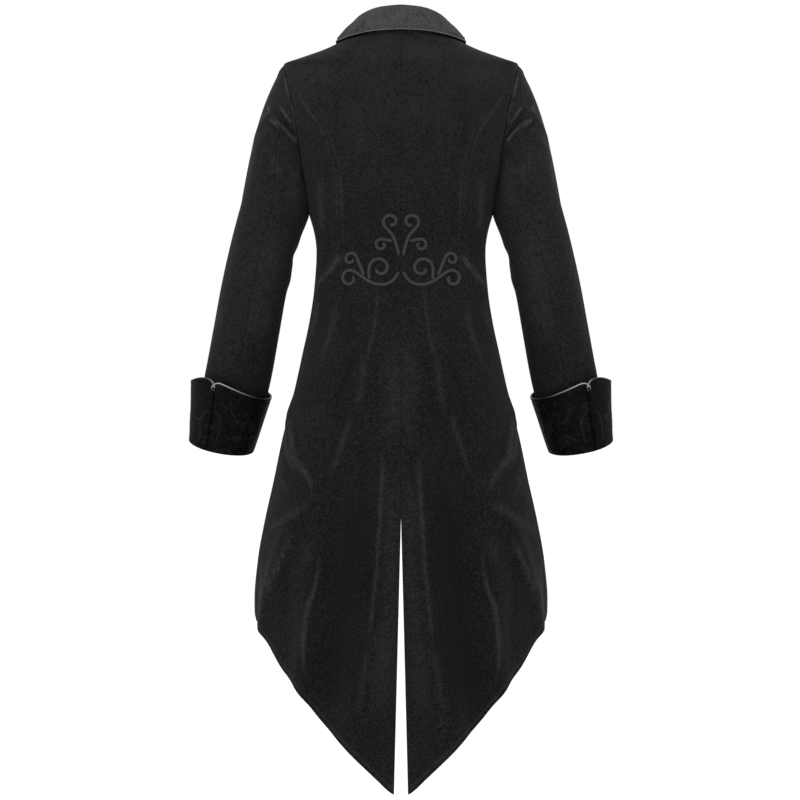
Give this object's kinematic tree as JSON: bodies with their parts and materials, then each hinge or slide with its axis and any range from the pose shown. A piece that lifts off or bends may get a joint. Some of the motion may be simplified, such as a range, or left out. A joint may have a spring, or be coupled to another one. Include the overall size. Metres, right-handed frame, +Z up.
{
  "type": "tailcoat",
  "caption": "Fitted velvet swallow-tail coat, filled out with no wearer: split tails, cutaway front, turned-back cuffs, fold-down collar and scroll braid on the back waist.",
  "frame": {"origin": "midway between the two points where the shoulder seams meet the neckline, where the wearer's shoulders carry the coat", "axes": "+Z up the wearer's body, -Y the way the front faces, +X the wearer's left"},
  "size_m": [0.6864, 0.3033, 1.2367],
  "materials": {
    "black_velvet": "matt velvet pile with a soft sheen",
    "crushed_velvet": "crushed velvet, glossier than the coat",
    "collar_velvet": "charcoal velvet pile",
    "soutache": "satin braid",
    "button_metal": "dark gunmetal, satin"
  },
  "bodies": {
    "root": {"back_left": "black_velvet", "back_right": "black_velvet", "side_back_left": "black_velvet", "side_back_right": "black_velvet", "side_skirt_left": "black_velvet", "side_skirt_right": "black_velvet", "front_left": "black_velvet", "front_right": "black_velvet", "sleeve_upper_left": "black_velvet", "sleeve_upper_right": "black_velvet", "sleeve_under_left": "black_velvet", "sleeve_under_right": "black_velvet", "cuff_left": "crushed_velvet", "cuff_right": "crushed_velvet", "collar": "collar_velvet", "button_1": "button_metal", "button_2": "button_metal", "button_3": "button_metal", "button_4": "button_metal", "button_5": "button_metal", "scroll_crown_left": "soutache", "scroll_crown_right": "soutache", "scroll_brow_left": "soutache", "scroll_brow_right": "soutache", "scroll_sweep_left": "soutache", "scroll_sweep_right": "soutache", "scroll_wheel_left": "soutache", "scroll_wheel_right": "soutache", "scroll_hook_left": "soutache", "scroll_hook_right": "soutache"}
  },
  "joints": []
}
